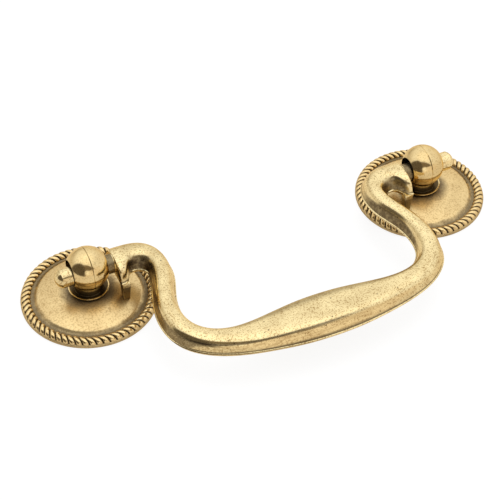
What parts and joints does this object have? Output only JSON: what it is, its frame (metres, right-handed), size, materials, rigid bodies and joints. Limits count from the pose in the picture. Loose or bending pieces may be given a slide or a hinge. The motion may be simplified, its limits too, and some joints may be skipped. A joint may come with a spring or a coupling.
{
  "type": "bail pull",
  "caption": "Antique brass bail pull: a swan-neck bail with a swelling grip, hung on ball posts over round rosettes with a rope-twist border.",
  "frame": {"origin": "midway between the two screw holes, on the plane of the rosettes' backs", "axes": "+X along the line of the two posts, +Y up on the drawer front, away from the grip, +Z out of the drawer front"},
  "size_m": [0.131, 0.0616, 0.0163],
  "materials": {
    "bail_brass": "antique, brushed bright on top",
    "post_brass": "antique, polished",
    "rosette_brass": "antique, dark in the hollows"
  },
  "bodies": {
    "base": {"rosette_left": "rosette_brass", "rosette_right": "rosette_brass", "post_left": "post_brass", "post_right": "post_brass"},
    "bail": {"bail": "bail_brass"}
  },
  "joints": [
    {"name": "bail_swing", "type": "hinge", "parent": "base", "child": "bail", "pos_m": [0, -0.0005, 0.0103], "axis": [-1, 0, 0], "range_deg": [0, 110]}
  ]
}
